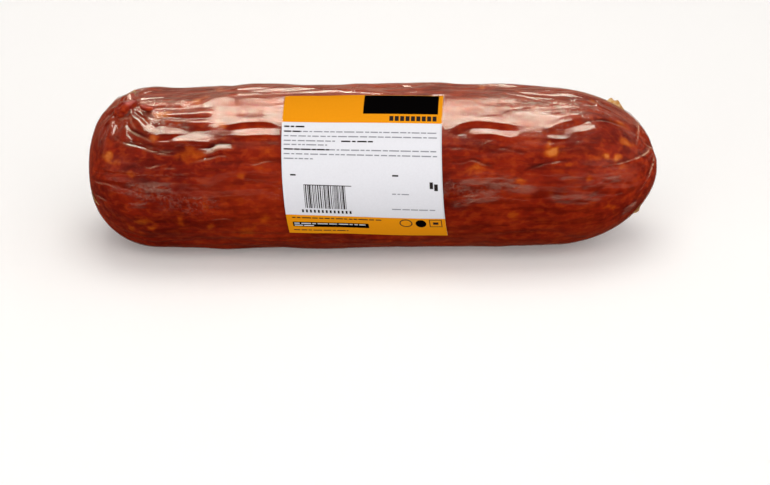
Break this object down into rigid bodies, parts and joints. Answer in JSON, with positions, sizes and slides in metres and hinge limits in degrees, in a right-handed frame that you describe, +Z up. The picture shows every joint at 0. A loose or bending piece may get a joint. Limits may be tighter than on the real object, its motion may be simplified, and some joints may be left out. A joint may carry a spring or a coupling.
{
  "type": "cured sausage",
  "caption": "Large whole cured sausage lying in skin-tight clear vacuum film, wrinkled and pleated towards both ends, with a square paper label on its front.",
  "frame": {"origin": "on the surface that the sausage lies on, below its middle", "axes": "+X along the sausage towards its rounder end, label on the -Y side, +Z up"},
  "size_m": [0.368, 0.1071, 0.1054],
  "materials": {
    "sausage_in_film": "paprika-red cured meat under glossy clear film",
    "clear_film": "clear shrunk vacuum film, glossy, with sharp small folds",
    "label_paper": "coated white paper, satin",
    "label_ink": "flat printed areas and bars, satin"
  },
  "bodies": {
    "root": {"sausage": "sausage_in_film", "label": "label_paper"}
  },
  "joints": []
}
